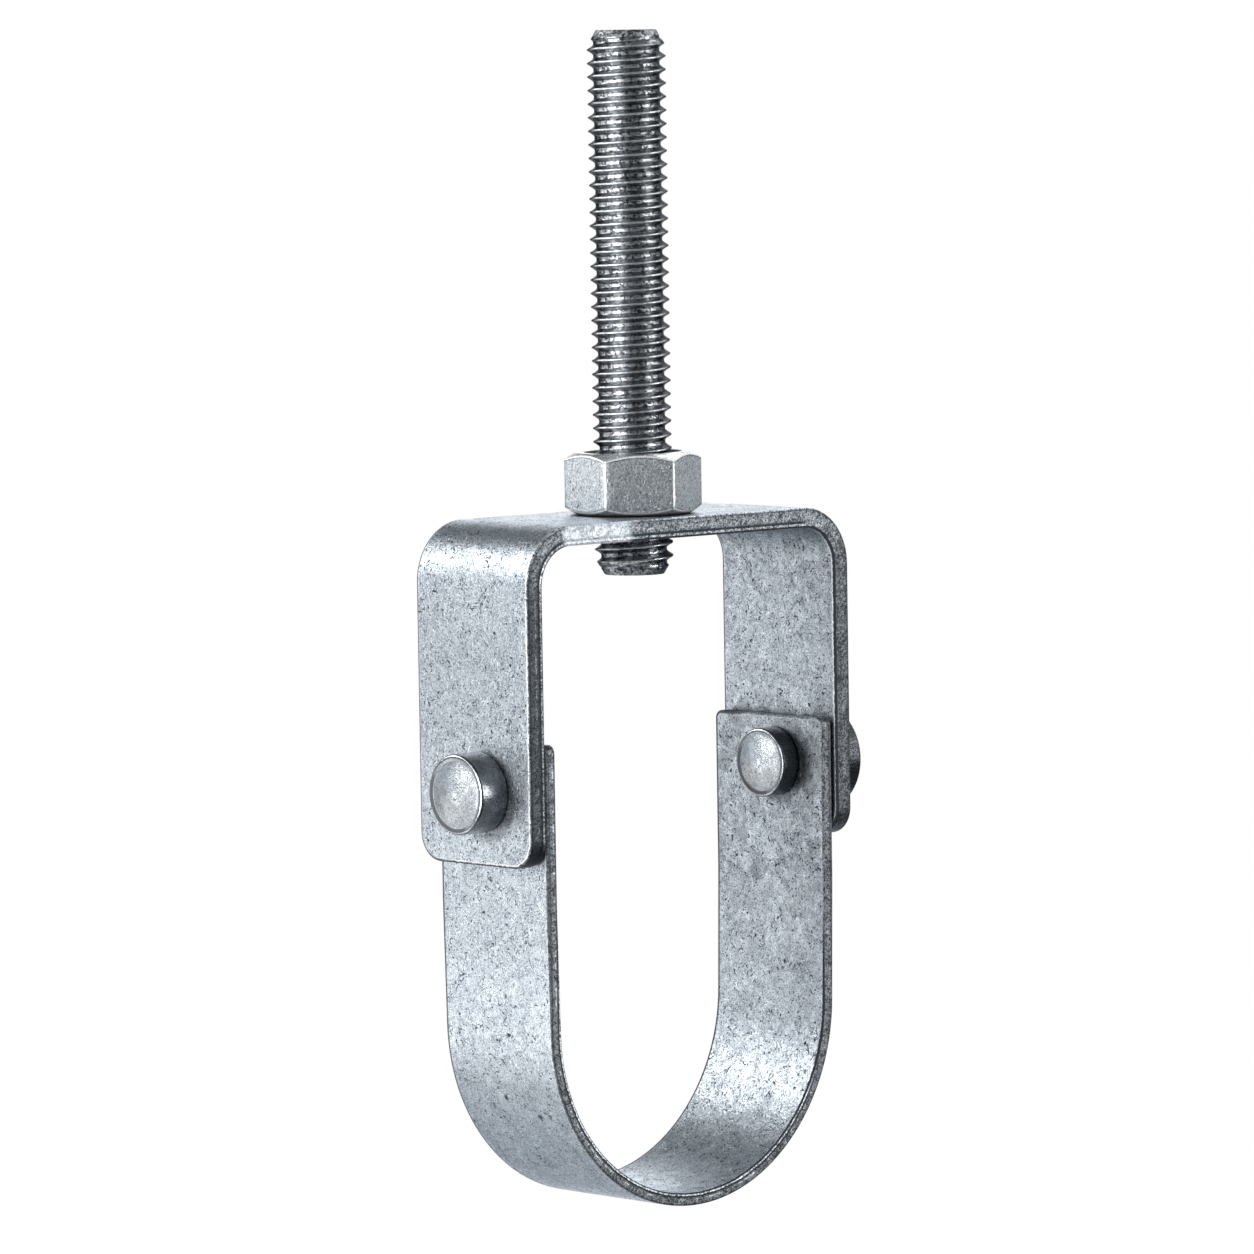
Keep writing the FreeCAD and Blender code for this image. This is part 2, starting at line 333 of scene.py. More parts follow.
class Finish:
    """One finish's tree of nodes. Its methods add nodes and give the socket of their result.

    Masks are read at a place on the piece. Noise is read at a laid place, which is shifted
    where two pieces would otherwise have the same pattern.
    """

    def __init__(self, tree, place, shift=None):
        self.tree = tree
        self.place = place
        self.laid = place
        if shift is not None:
            mapping = self.add("ShaderNodeMapping", {"Vector": place, "Location": shift})
            self.laid = mapping.outputs["Vector"]

    def add(self, kind, feeds=None, **settings):
        """Any one node, given whole."""
        return add_node(self.tree, kind, feeds, **settings)

    def maths(self, operation, a, b=0.0, c=0.0):
        """One step of arithmetic."""
        return self.add("ShaderNodeMath", {0: a, 1: b, 2: c}, operation=operation).outputs["Value"]

    def product(self, first, *others):
        """Values multiplied in turn."""
        for other in others:
            first = self.maths("MULTIPLY", first, other)
        return first

    def largest(self, first, *others):
        """The largest of some values."""
        for other in others:
            first = self.maths("MAXIMUM", first, other)
        return first

    def inverse(self, mask):
        """One less a mask."""
        return self.maths("SUBTRACT", 1.0, mask)

    def vector(self, operation, a, b=(0.0, 0.0, 0.0), result="Vector"):
        """One step of arithmetic on vectors."""
        return self.add("ShaderNodeVectorMath", {0: a, 1: b}, operation=operation).outputs[result]

    def coordinate(self, axis):
        """One coordinate of the place."""
        return self.add("ShaderNodeSeparateXYZ", {"Vector": self.place}).outputs[axis]

    def attribute(self, name):
        """Value that is kept at the mesh's points."""
        return self.add("ShaderNodeAttribute", attribute_name=name).outputs["Fac"]

    def noise(self, scale, detail, roughness, distortion=0.0, at=None):
        """Noise from nought to one."""
        return self.add("ShaderNodeTexNoise", {
            "Vector": self.laid if at is None else at, "Scale": scale, "Detail": detail,
            "Roughness": roughness, "Distortion": distortion}).outputs["Fac"]

    def ramp(self, value, low, high, start, end, course="LINEAR"):
        """Result that goes from start to end while the value goes from low to high."""
        return self.add("ShaderNodeMapRange", {
            "Value": value, "From Min": low, "From Max": high, "To Min": start, "To Max": end},
            interpolation_type=course).outputs["Result"]

    def band(self, value, start, full, past, end):
        """Mask that rises from start to full and falls from past to end."""
        return self.product(self.ramp(value, start, full, 0.0, 1.0),
                            self.ramp(value, past, end, 1.0, 0.0))

    def near(self, value, level, full, end, strength=1.0):
        """Mask that is full while the value is near a level, and fades out further from it."""
        away = self.maths("ABSOLUTE", self.maths("SUBTRACT", value, level))
        return self.ramp(away, full, end, strength, 0.0)

    def distance(self, centre, axes):
        """Distance from a centre over the axes given, in millimetres."""
        moved = self.vector("SUBTRACT", self.place, centre)
        return self.vector("LENGTH", self.vector("MULTIPLY", moved, axes), result="Value")

    def spot(self, centre, axes, full, end):
        """Mask that is one within a distance of a centre and fades out to a second distance."""
        return self.ramp(self.distance(centre, axes), full, end, 1.0, 0.0, "SMOOTHSTEP")

    def blend(self, factor, a, b, kind="RGBA", clamped=True):
        """Two colours, or two values, blended by a factor."""
        return self.add("ShaderNodeMix", {"Factor": factor, "A": a, "B": b},
                        data_type=kind, clamp_factor=clamped).outputs["Result"]

    def metal(self, colour, roughness, height, bump_strength, bump_distance, others):
        """Ends the tree of a material: bare metal with a bump, and the material's output."""
        bump = self.add("ShaderNodeBump", {"Height": height, "Strength": bump_strength,
                                           "Distance": bump_distance})
        shader = self.add("ShaderNodeBsdfPrincipled", {
            "Base Color": colour, "Metallic": 1.0, "Roughness": roughness,
            "Normal": bump.outputs["Normal"], **others})
        self.add("ShaderNodeOutputMaterial", {"Surface": shader.outputs["BSDF"]})


def new_finish(name, shift=None):
    """New material, and its finish over the piece's own coordinates."""
    made = empty_material(name)
    place = add_node(made.node_tree, "ShaderNodeTexCoord").outputs["Object"]
    return made, Finish(made.node_tree, place, shift)


def bright_thread_material():
    """Plated rolled thread: bright, with fine drag marks round it and grime lying in patches.

    The root is darker deeper in, the crest is rubbed, painted shade darkens what is seen at
    a slant, and the sawn top is bare and sooty. Radii are in millimetres.
    """
    made, finish = new_finish("rod_plated_thread")
    radius = finish.distance(rod_axis, round_rod)
    patches = finish.noise(1900.0, 3.0, 0.75, 0.9)
    drawn_out = finish.add("ShaderNodeMapping", {"Vector": finish.place, "Scale": (1.0, 1.0, 3.0)})
    drag = finish.noise(1300.0, 4.0, 0.75, 0.5, drawn_out.outputs["Vector"])
    in_root = finish.ramp(radius, 3.90, 4.25, 1.0, 0.0, "SMOOTHSTEP")
    grime = finish.maths("ADD", finish.ramp(patches, 0.48, 0.58, 0.0, 0.84),
                         finish.product(in_root, 0.22))
    steel = finish.blend(grime, plated_steel, thread_grime)
    rubbed = finish.blend(finish.ramp(radius, 4.50, 4.61, 0.0, 0.44), steel, rubbed_crest)
    slant = finish.add("ShaderNodeLayerWeight", {"Blend": 0.5}).outputs["Facing"]
    # Painted shade: the colour darkens where the thread is seen at a slant
    slant_shaded = finish.blend(finish.ramp(slant, 0.42, 0.75, 0.0, 0.74), rubbed, slant_painted_shade)
    sooty = finish.ramp(patches, 0.40, 0.58, 0.0, 1.0)
    sawn_end = finish.ramp(finish.coordinate("Z"), sawn_from, sawn_full, 0.0, 1.0)
    colour = finish.blend(sawn_end, slant_shaded, finish.blend(sooty, sawn_steel, saw_soot))
    shine = finish.ramp(patches, 0.3, 0.7, 0.16, 0.30)
    roughness = finish.blend(sawn_end, shine, 0.42, "FLOAT")
    dented = finish.maths("MULTIPLY_ADD", patches, 0.55, drag)
    finish.metal(colour, roughness, dented, bump_strength=0.55, bump_distance=0.00010,
                 others={"Specular Tint": oil_tint})
    return made


threaded_rod = merged_piece("threaded_rod", rod_surface(), bright_thread_material(), 60)
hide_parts("hanger_rod")
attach(threaded_rod, "rod")


# Zinc skin. The finish that yoke, strap, nut and rivets share: clouded zinc with a
# strong fine grain, broken outlines of crystals, hairlines, dark flecks and small
# pits. It is built once and set for each piece.

def shader_group(name, inputs, outputs):
    """New shader group, and the sockets of what it is given. Sockets are named with their kinds."""
    group = bpy.data.node_groups.new(name, "ShaderNodeTree")
    for way, sockets in (("INPUT", inputs), ("OUTPUT", outputs)):
        for socket, kind in sockets.items():
            group.interface.new_socket(name=socket, in_out=way, socket_type="NodeSocket" + kind)
    return group, add_node(group, "NodeGroupInput").outputs


def zinc_skin_group():
    """Shader group with the zinc's colour, roughness and height over a piece's coordinates."""
    group, given = shader_group(
        "zinc_skin",
        {"Place": "Vector", "Pale": "Color", "Dull": "Color", "Fleck": "Color", "Clouds": "Float",
         "Outlines": "Float", "Flecks": "Float", "Pits": "Float", "Gloss": "Float"},
        {"Color": "Color", "Roughness": "Float", "Height": "Float"})
    finish = Finish(group, given["Place"])

    # Clouds and blotches, and a fine grain that reaches past pale and dull
    clouds = finish.noise(210.0, 4.0, 0.6, 0.6)
    blotches = finish.noise(620.0, 3.0, 0.6, 0.8)
    grain = finish.noise(4600.0, 2.0, 0.8, 0.4)
    large = finish.blend(0.55, finish.ramp(clouds, 0.36, 0.66, 0.0, 1.0),
                         finish.ramp(blotches, 0.32, 0.68, 0.0, 1.0), "FLOAT")
    tone = finish.blend(given["Clouds"], finish.ramp(grain, 0.30, 0.70, -0.60, 1.60), large, "FLOAT")

    # Crystal outlines and hairlines: level lines of noise, broken by other noise
    rings = finish.maths("FRACT", finish.product(finish.noise(460.0, 1.5, 0.5, 1.1), 8.0))
    gaps = finish.noise(1250.0, 2.0, 0.7, 0.5)
    dark_line = finish.product(finish.near(rings, 0.5, 0.035, 0.10),
                               finish.ramp(gaps, 0.48, 0.60, 0.0, 1.0), given["Outlines"])
    pale_line = finish.product(finish.near(rings, 0.66, 0.03, 0.12),
                               finish.ramp(gaps, 0.42, 0.56, 0.0, 1.0), given["Outlines"])
    curls = finish.maths("FRACT", finish.product(finish.noise(1050.0, 1.0, 0.5, 1.8), 7.0))
    dark_hair = finish.product(finish.near(curls, 0.5, 0.05, 0.13),
                               finish.ramp(blotches, 0.44, 0.56, 0.15, 1.0), given["Outlines"])
    pale_hair = finish.product(finish.near(curls, 0.72, 0.04, 0.12),
                               finish.ramp(gaps, 0.44, 0.54, 1.0, 0.2), given["Outlines"])
    ringed = finish.maths("SUBTRACT", tone, finish.product(pale_line, 0.55))
    lit = finish.maths("SUBTRACT", ringed, finish.product(pale_hair, 0.75))
    lined = finish.maths("MULTIPLY_ADD", dark_hair, 1.25, lit)
    skin = finish.blend(lined, given["Pale"], given["Dull"], clamped=False)

    # Flecks are high spots of twisted noise, pits a few of the cells' centres
    flecks = finish.product(finish.ramp(finish.noise(1500.0, 1.0, 0.5, 2.2), 0.640, 0.665, 0.0, 1.0),
                            given["Flecks"])
    cells = finish.add("ShaderNodeTexVoronoi", {
        "Vector": given["Place"], "Scale": 620.0, "Randomness": 1.0}).outputs
    drawn = finish.add("ShaderNodeSeparateColor", {"Color": cells["Color"]}).outputs["Red"]
    pits = finish.product(finish.ramp(cells["Distance"], 0.09, 0.17, 1.0, 0.0),
                          finish.maths("GREATER_THAN", drawn, 0.82), given["Pits"])
    marks = finish.largest(flecks, pits, finish.product(dark_line, 0.8))

    gloss = finish.maths("ADD", finish.ramp(large, 0.0, 1.0, -0.05, 0.09), given["Gloss"])
    body = finish.maths("MULTIPLY_ADD", blotches, 1.5,
                        finish.maths("MULTIPLY_ADD", clouds, 1.2, grain))
    raised = finish.maths("MULTIPLY_ADD", pale_line, 0.25, body)
    finish.add("NodeGroupOutput", {
        "Color": finish.blend(marks, skin, given["Fleck"]),
        "Roughness": finish.maths("MULTIPLY_ADD", marks, 0.25, gloss),
        "Height": finish.maths("MULTIPLY_ADD", marks, -0.6, raised)})
    return group


zinc_skin = zinc_skin_group()


def zinc_skin_on(finish, values):
    """Sockets with the colour, roughness and height of the zinc skin, set for one finish."""
    skin = finish.add("ShaderNodeGroup", {"Place": finish.laid, **values}, node_tree=zinc_skin)
    return skin.outputs["Color"], skin.outputs["Roughness"], skin.outputs["Height"]


# Lock nut. Hot-formed hexagon of zinc-plated steel with both ends turned to a
# cone and a countersunk thread, run down on the rod against the yoke.

nut_flats = 0.01429
nut_bottom = 0.05875
nut_top = 0.06605
nut_ring = 0.94 * nut_flats / 2
nut_ring_inside = 0.96
nut_cone = math.tan(math.radians(30))
nut_arris = 0.00020
nut_sink = 0.00580
nut_sink_depth = 0.0005
nut_sink_wall = 0.00025
nut_bore = 0.00482
nut_thread_depth = 0.00030
nut_thread_rows = 60
nut_turn = math.radians(-6.5)
# Heights over which the painted shadow fades out above the nut's lowest edge
nut_foot_full = nut_bottom + 0.0002
nut_foot_end = nut_bottom + 0.0007
hexagon_power = 46.0

nut_zinc = {
    "Pale": (0.95, 0.985, 1.0, 1.0),
    "Dull": (0.42, 0.455, 0.49, 1.0),
    "Fleck": (0.10, 0.11, 0.12, 1.0),
    "Clouds": 0.16,
    "Outlines": 0.30,
    "Flecks": 0.8,
    "Pits": 0.8,
    "Gloss": 0.28,
}
# Rubbed arrises, which are partly a painted highlight
nut_rubbed_highlight = (0.97, 0.98, 0.99, 1.0)
# Painted shade in the countersink and beside the arrises, and painted shadow under the nut
nut_painted_shade = (0.03, 0.032, 0.036, 1.0)


def hexagon_radius(angle):
    """Distance from the axis to a hexagon whose corners are rounded to a soft maximum.

    The three distances along the flats' normals are joined by a high power mean, which
    keeps the flats flat and takes the corners off.
    """
    total = np.zeros_like(angle)
    for k in range(3):
        total = total + np.abs(np.cos(angle - nut_turn - k * np.pi / 3)) ** hexagon_power
    return nut_flats / 2 / total ** (1 / hexagon_power)


def nut_surface(around=360):
    """Closed grid of the nut: up the bore, over the top, down a flat and under the bottom.

    At each angle the outline runs through the ring where the cone starts, the point
    where cone and flat meet, and the same below. That meeting corner is swapped for a
    short curve with two parts of its neighbours and the corner as its control point.
    The bore's radius is a wave that rises by one pitch a turn.
    """
    angle = np.linspace(0.0, 2 * np.pi, around + 1)
    hexagon = hexagon_radius(angle)
    ring = np.full_like(angle, nut_ring)
    drop = (hexagon - ring) * nut_cone
    top = np.full_like(angle, nut_top)
    bottom = np.full_like(angle, nut_bottom)

    def softened(before, corner, after):
        """Five points of a curve that takes a corner off."""
        before_step = before - corner
        after_step = after - corner
        start = corner + before_step * (nut_arris / np.linalg.norm(before_step, axis=0))
        end = corner + after_step * (nut_arris / np.linalg.norm(after_step, axis=0))
        share = np.linspace(0.0, 1.0, 5)[:, None, None]
        return (1 - share) ** 2 * start + 2 * share * (1 - share) * corner + share ** 2 * end

    top_ring = np.stack([ring, top])
    top_meet = np.stack([hexagon, top - drop])
    low_meet = np.stack([hexagon, bottom + drop])
    low_ring = np.stack([ring, bottom])
    inward = [[nut_ring_inside], [1.0]]
    rows = []
    for level in np.linspace(nut_bottom + nut_sink_depth, nut_top - nut_sink_depth, nut_thread_rows):
        wave = (level - nut_bottom) / thread_pitch - angle / (2 * np.pi)
        groove = nut_bore + nut_thread_depth * (0.5 - 0.5 * np.cos(2 * np.pi * wave))
        rows.append(np.stack([groove, np.full_like(angle, level)]))
    rows.append(np.stack([np.full_like(angle, nut_sink), top]))
    rows.append(np.stack([np.full_like(angle, nut_ring - nut_sink_wall), top]))
    rows.extend(softened(top_ring * inward, top_ring, top_meet))
    rows.extend(softened(top_ring, top_meet, low_meet))
    rows.extend(top_meet + (low_meet - top_meet) * share for share in (0.2, 0.4, 0.6, 0.8))
    rows.extend(softened(top_meet, low_meet, low_ring))
    rows.extend(softened(low_meet, low_ring, low_ring * inward))
    rows.append(np.stack([np.full_like(angle, nut_sink), bottom]))
    rows.append(rows[0])
    outline = np.stack(rows)
    radius = outline[:, 0]
    return np.stack([radius * np.cos(angle), radius * np.sin(angle), outline[:, 1]], axis=2)


def nut_material():
    """Zinc plate, rubbed bright on the arrises, partly as a painted highlight, with painted
    shade in the countersink and painted shadow along the nut's lowest edge.

    A dark line of painted shade lies beside each rubbed arris. Gaps are the mesh's, in millimetres.
    """
    made, finish = new_finish("nut_zinc_plate")
    zinc, gloss, grain = zinc_skin_on(finish, nut_zinc)
    wander = finish.maths("MULTIPLY_ADD", finish.noise(1800.0, 2.0, 0.6), 0.14, -0.07)
    cone_gap = finish.maths("ADD", finish.attribute("cone_gap"), wander)
    corner_gap = finish.maths("ADD", finish.attribute("corner_gap"), wander)
    on_side = finish.ramp(cone_gap, -0.12, 0.0, 0.0, 1.0)
    # Rubbed arrises, partly a painted highlight, with painted shade lines beside them
    corner_worn_highlight = finish.product(finish.ramp(corner_gap, 0.10, 0.16, 1.0, 0.0), on_side)
    worn_and_highlight = finish.largest(finish.near(cone_gap, 0.0, 0.06, 0.12), corner_worn_highlight)
    corner_shade = finish.product(finish.near(corner_gap, 0.24, 0.04, 0.09), on_side)
    cone_shade = finish.near(cone_gap, 0.21, 0.05, 0.10)
    lined = finish.product(finish.largest(cone_shade, corner_shade), 0.55)
    # Painted shade in the countersink and painted shadow along the nut's lowest edge
    countersink_shade = finish.ramp(finish.distance(rod_axis, round_rod), 5.65, 5.85, 0.95, 0.0)
    foot_shadow = finish.ramp(finish.coordinate("Z"), nut_foot_full, nut_foot_end, 0.9, 0.0)
    dark = finish.largest(countersink_shade, foot_shadow, lined)
    colour = finish.blend(dark, finish.blend(worn_and_highlight, zinc, nut_rubbed_highlight), nut_painted_shade)
    roughness = finish.blend(finish.largest(worn_and_highlight, dark), gloss, 0.62, "FLOAT")
    finish.metal(colour, roughness, grain, bump_strength=0.6, bump_distance=0.00008, others={
        "Metallic": finish.inverse(finish.largest(countersink_shade, foot_shadow)), "Specular IOR Level": 0.0})
    return made


def mark_arris_gaps(mesh):
    """Point attributes with the distance from the cones' edges and from the corners, in mm.

    The first is how far a point lies below the height where its cone meets the hexagon,
    less than zero on the cone. The second is half a flat's width less the distance along
    the flat, which is the tangent of the angle from the flat's normal times half the size
    over the flats.
    """
    points = np.empty(len(mesh.vertices) * 3)
    mesh.vertices.foreach_get("co", points)
    x, y, z = points.reshape(-1, 3).T
    angle = np.arctan2(y, x)
    drop = (hexagon_radius(angle) - nut_ring) * nut_cone
    middle = (nut_top + nut_bottom) / 2
    cone_gap = (nut_top - nut_bottom) / 2 - drop - np.abs(z - middle)
    from_normal = (angle - nut_turn + np.pi / 6) % (np.pi / 3) - np.pi / 6
    corner_gap = nut_flats / 2 * (math.tan(math.pi / 6) - np.abs(np.tan(from_normal)))
    for name, gap in (("cone_gap", cone_gap), ("corner_gap", corner_gap)):
        made = mesh.attributes.new(name, "FLOAT", "POINT")
        made.data.foreach_set("value", (gap * 1000).astype(np.float32))


hexagon_nut = merged_piece("hexagon_nut", nut_surface(), nut_material(), 35)
mark_arris_gaps(hexagon_nut.data)
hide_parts("lock_nut")
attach(hexagon_nut, "nut")


# Yoke. Flat bar sheared to length with rounded ends, bent to a U, tapped for the
# rod and drilled for the rivets, then galvanised. Its sheared edges are dark and
# coarse with a bright burr along each arris; painted shadow lies round the nut, round
# the rivet's head and under the end of the left leg.

bar_zinc = {
    "Pale": (0.70, 0.755, 0.80, 1.0),
    "Dull": (0.30, 0.335, 0.375, 1.0),
    "Fleck": (0.06, 0.065, 0.075, 1.0),
    "Flecks": 1.0,
    "Pits": 0.75,
    "Gloss": 0.29,
}
sheared_dark = (0.026, 0.030, 0.035, 1.0)
sheared_bright = (0.80, 0.86, 0.91, 1.0)
burr_bright = (0.86, 0.88, 0.90, 1.0)
# Painted shade along the far rim
far_rim_painted_shade = (0.05, 0.054, 0.06, 1.0)
# Dark spots: painted shadow or real stains
spot_shadow_and_stain = (0.03, 0.033, 0.038, 1.0)
zinc_tint = (0.80, 0.83, 0.87, 1.0)
worn_bend = (-0.0146, -0.0097, 0.0575)
right_leg_from = (0.018, 0.020)
far_rim_from = (0.004, 0.006)

# Distances in space, from metres to millimetres
in_space = (1000.0, 1000.0, 1000.0)

# Heights in metres over which the edges' tones, and the faces' painted shade and painted light, come
# in or go out
legs_to_plate = (0.050, 0.057)
plate_line_ends = (0.052, 0.0575)
cradle_light_turns_shade = (-0.016, -0.011)
inside_shade_deepens = (0.0, 0.014)
yoke_inside_shade_eases = (0.0334, 0.036)
yoke_inside_shade_returns = (0.046, 0.054)
leg_outside_shade_starts = (0.022, 0.036)
leg_outside_shade_ends = (0.044, 0.056)
strap_outside_painted_light = 0.0015

# How bright the sheared edge is at shares of the bar's thickness, from its outer face;
# the burr stands before the first
edge_profile = (
    (0.09, 0.02), (0.16, 0.26), (0.50, 0.38), (0.64, 0.20), (0.68, 0.01), (0.77, 0.01),
    (0.80, 1.50), (0.88, 1.50), (0.91, 0.01), (1.00, 0.01),
)


def rim_inset_group():
    """Shader group with the distance in from a bar's sheared outline, in millimetres.

    The outline is the bar's two long edges and its rounded end. The distance is that
    of a rounded box: the length of the part past the corner's centre, less its radius.
    """
    group, given = shader_group(
        "rim_inset",
        {"Place": "Vector", "Half Width": "Float", "Corner Radius": "Float",
         "End Height": "Float", "Way": "Float"},
        {"Inset": "Float"})
    millimetres = add_node(group, "ShaderNodeVectorMath", {0: given["Place"], 1: in_space},
                           operation="MULTIPLY").outputs["Vector"]
    finish = Finish(group, millimetres)
    radius = given["Corner Radius"]
    side = finish.maths("ABSOLUTE", finish.coordinate("Y"))
    centre = finish.maths("SUBTRACT", given["Half Width"], radius)
    past_side = finish.maths("SUBTRACT", side, centre)
    above_end = finish.maths("SUBTRACT", finish.coordinate("Z"), given["End Height"])
    past_end = finish.maths("SUBTRACT", radius, finish.product(above_end, given["Way"]))
    outer_side = finish.largest(past_side, 0.0)
    outer_end = finish.largest(past_end, 0.0)
    corner = finish.maths("SQRT", finish.maths("ADD", finish.product(outer_side, outer_side),
                                               finish.product(outer_end, outer_end)))
    inner = finish.maths("MINIMUM", finish.largest(past_side, past_end), 0.0)
    inset = finish.maths("SUBTRACT", radius, finish.maths("ADD", corner, inner))
    finish.add("NodeGroupOutput", {"Inset": inset})
    return group


rim_inset = rim_inset_group()


def inset_from(finish, place, half_width, corner_radius, end_height, way):
    """Socket with the distance in from one rounded box, in millimetres.

    The way is 1 where the bar lies above the box's end, and -1 where it lies below.
    """
    return finish.add("ShaderNodeGroup", {
        "Place": place, "Half Width": half_width, "Corner Radius": corner_radius,
        "End Height": end_height, "Way": way}, node_tree=rim_inset).outputs["Inset"]


def sheared_bar_material(name, clouds, outlines, rim, bend, thickness, edge_levels, burr, wear,
                         shadow_and_stain_spots, shift=None):
    """Galvanised face and sheared edge of a bent bar, told apart by the distance from its rim.

    Rim and bend are rounded boxes, each with its half width, corner radius, end height and
    way: the bar's outline seen from the side, and its bent outline seen from the front,
    which gives the depth below its outer face. The depth places the lines along the sheared
    edge and puts painted shade on the inner face. Edge levels are the edge's brightness on
    the legs and on the plate. Burr and wear say how bright the burrs and the rubbed bend are.
    Shadow and stain spots are a list of dark spots, each painted shadow or a real stain,
    with its centre, its axes, two distances and its strength.
    """
    made, finish = new_finish(name, shift)
    zinc, gloss, grain = zinc_skin_on(finish, {**bar_zinc, "Clouds": clouds, "Outlines": outlines})
    rim_inset_mm = inset_from(finish, finish.place, *rim)
    from_front = finish.add("ShaderNodeMapping", {"Vector": finish.place,
                                                  "Rotation": (0.0, 0.0, math.pi / 2)})
    bend_inset_mm = inset_from(finish, from_front.outputs["Vector"], *bend)
    height = finish.coordinate("Z")
    fine = finish.noise(2400.0, 2.0, 0.65, 0.6)
    coarse = finish.noise(520.0, 3.0, 0.6, 0.8)
    ragged = finish.maths("MULTIPLY_ADD", fine, 0.32, rim_inset_mm)
    cut = finish.ramp(ragged, 0.36, 0.43, 1.0, 0.0)
    uneven = finish.maths("MULTIPLY_ADD", finish.maths("SUBTRACT", fine, 0.5), 0.12, bend_inset_mm)
    depth = finish.maths("DIVIDE", uneven, thickness)

    # Sheared edge: lines along it, lumps and grit, and a rubbed place on the left bend
    across = finish.add("ShaderNodeValToRGB", {"Fac": depth})
    stops = ((0.00, burr), (0.05, burr), *edge_profile)
    for _ in stops[2:]:
        across.color_ramp.elements.new(0.5)
    for element, (position, grey) in zip(across.color_ramp.elements, stops):
        element.position = position
        element.color = (grey, grey, grey, 1.0)
    lump = finish.maths("MULTIPLY_ADD", fine, 0.40, finish.product(coarse, 0.28))
    lump = finish.maths("MULTIPLY_ADD", finish.noise(5200.0, 1.0, 0.5), 0.55, lump)
    lumpy = finish.ramp(lump, 0.52, 0.74, 0.10, 1.55)
    right_leg = finish.ramp(finish.coordinate("X"), *right_leg_from, 0.0, 1.0)
    level = finish.largest(finish.ramp(height, *legs_to_plate, *edge_levels),
                           finish.product(right_leg, 0.40))
    plain = finish.largest(finish.ramp(height, *plate_line_ends, 0.0, 0.84), right_leg)
    inner_line = finish.product(finish.ramp(depth, 0.76, 0.79, 0.0, 0.97), plain)
    filled = finish.product(finish.ramp(depth, 0.60, 0.64, 0.0, 1.0),
                            finish.ramp(depth, 0.84, 0.89, 0.34, 0.0), right_leg)
    streak = finish.product(finish.near(depth, 0.5, 0.03, 0.06, 0.9),
                            finish.ramp(coarse, 0.50, 0.56, 0.0, 1.0), finish.inverse(plain))
    profile = finish.largest(finish.product(across.outputs["Color"], finish.inverse(inner_line)),
                             finish.largest(filled, streak))
    rubbed = finish.product(finish.spot(worn_bend, in_space, 4.5, 6.0), wear,
                            finish.ramp(fine, 0.38, 0.58, 0.66, 1.0))
    bare = finish.maths("ADD", finish.product(lumpy, level, profile), rubbed)
    edge = finish.blend(bare, sheared_dark, sheared_bright)

    # Faces: painted shade on the inner one, turning to painted light low in the cradle and
    # easing on the yoke above the strap; painted shade on the outer one low on the yoke and
    # painted light where the strap begins to bend; a burr along the rim
    inner_side = finish.ramp(depth, 0.45, 0.60, 0.0, 1.0)
    # Painted shade on the inner face, turning to painted light low in the cradle
    inner_shade_level = finish.maths("ADD", finish.ramp(height, *cradle_light_turns_shade, -0.9, 0.5),
                               finish.ramp(height, *inside_shade_deepens, 0.0, 0.5))
    lit_inside = finish.product(finish.ramp(height, *yoke_inside_shade_eases, 0.0, 0.40),
                                finish.ramp(height, *yoke_inside_shade_returns, 1.0, 0.0))
    inner_shade_level = finish.maths("SUBTRACT", inner_shade_level, lit_inside)
    inner_painted_shade = finish.product(inner_side, inner_shade_level, finish.ramp(coarse, 0.36, 0.60, 0.08, 0.42))
    # Painted shade on the outer face low on the yoke, and painted light where the strap bends
    outer_shade_level = finish.maths("SUBTRACT", finish.ramp(height, *leg_outside_shade_starts, 0.0, 0.16),
                               finish.ramp(height, *leg_outside_shade_ends, 0.0, 0.16))
    outer_shade_level = finish.maths("SUBTRACT", outer_shade_level,
                               finish.near(height, strap_outside_painted_light, 0.003, 0.009, 0.14))
    face_shade = finish.maths("MULTIPLY_ADD", finish.inverse(inner_side), outer_shade_level, inner_painted_shade)
    face_shaded = finish.add("ShaderNodeVectorMath", {0: zinc, "Scale": finish.inverse(face_shade)},
                        operation="SCALE").outputs["Vector"]
    burr_line = finish.product(finish.ramp(ragged, 0.48, 0.66, 1.0, 0.0),
                               finish.ramp(coarse, 0.36, 0.52, 0.25, 1.0))
    face = finish.blend(finish.product(burr_line, burr), face_shaded, burr_bright)

    # Painted shade as a dark line along the far rim, and dark spots over all of it that are
    # painted shadow or real stains
    far_side = finish.ramp(finish.coordinate("Y"), *far_rim_from, 0.0, 1.0)
    far_rim_shade = finish.product(far_side, 0.9, finish.ramp(rim_inset_mm, 0.32, 0.44, 1.0, 0.0))
    colour = finish.blend(far_rim_shade, finish.blend(cut, face, edge), far_rim_painted_shade)
    # Each spot is painted shadow or a real stain
    for centre, axes, full, end, strength in shadow_and_stain_spots:
        broken = finish.product(finish.spot(centre, axes, full, end), strength,
                                finish.ramp(fine, 0.3, 0.6, 0.75, 1.0))
        colour = finish.blend(broken, colour, spot_shadow_and_stain)

    roughness = finish.blend(cut, gloss, 0.44, "FLOAT")
    edge_grain = finish.maths("MULTIPLY_ADD", coarse, 1.2, finish.product(fine, 1.8))
    no_burr = finish.product(finish.ramp(depth, 0.05, 0.09, 1.0, 0.0), 1.0 - burr)
    arris_lines = finish.largest(finish.ramp(depth, 0.90, 0.93, 0.0, 1.0), no_burr)
    matt = finish.largest(finish.product(cut, arris_lines), far_rim_shade)
    bumps = finish.blend(cut, grain, edge_grain, "FLOAT")
    finish.metal(colour, roughness, bumps, bump_strength=0.5, bump_distance=0.00009, others={
        "Metallic": finish.inverse(matt), "Specular IOR Level": 0.0, "Specular Tint": zinc_tint})
    return made


